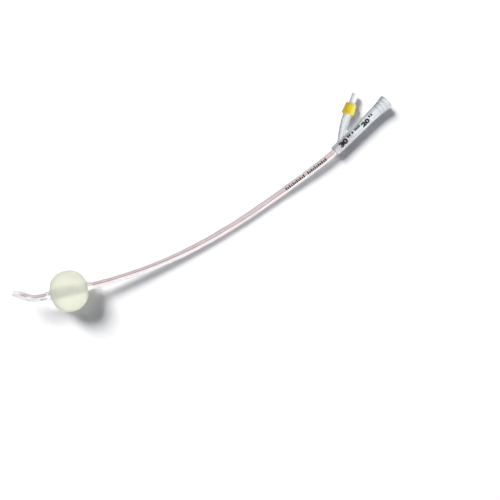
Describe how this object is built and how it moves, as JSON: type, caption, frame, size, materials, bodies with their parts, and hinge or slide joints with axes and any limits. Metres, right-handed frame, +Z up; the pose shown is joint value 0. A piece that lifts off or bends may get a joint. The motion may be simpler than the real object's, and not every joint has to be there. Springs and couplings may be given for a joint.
{
  "type": "foley urinary catheter",
  "caption": "Two-way urinary catheter: clear two-lumen tube with filled balloon, oblique tip with eyes, drainage funnel and filling arm with spring valve.",
  "frame": {"origin": "on the surface that the catheter lies on, under the middle of its outline", "axes": "+X out of the drainage funnel's mouth along its axis, +Z up, the filling arm on the +Y side of the funnel"},
  "size_m": [0.3686, 0.1181, 0.038],
  "materials": {
    "clear_tube": "clear soft PVC, polished, with a red line in the wall",
    "clear_connector": "clear soft PVC moulding",
    "cream_latex": "thin stretched latex, translucent cream",
    "yellow_plastic": "moulded yellow plastic, satin",
    "clear_rigid": "clear rigid moulded plastic",
    "white_plastic": "white moulded plastic",
    "black_rubber": "moulded rubber",
    "spring_steel": "bright spring wire"
  },
  "bodies": {
    "catheter": {"catheter_tube": "clear_tube", "retention_balloon": "cream_latex", "y_connector": "clear_connector", "valve_collar": "yellow_plastic", "luer_port": "clear_rigid", "valve_chamber": "clear_rigid", "valve_spring": "spring_steel"},
    "plunger": {"valve_plunger": "white_plastic", "valve_seal": "black_rubber"}
  },
  "joints": [
    {"name": "valve_push", "type": "slide", "parent": "catheter", "child": "plunger", "axis": [-0.9018, -0.4321, 0], "range_m": [0, 0.0012], "stiffness_N_per_m": 200, "springref_m": -0.002, "deforming": ["valve_spring"]}
  ]
}
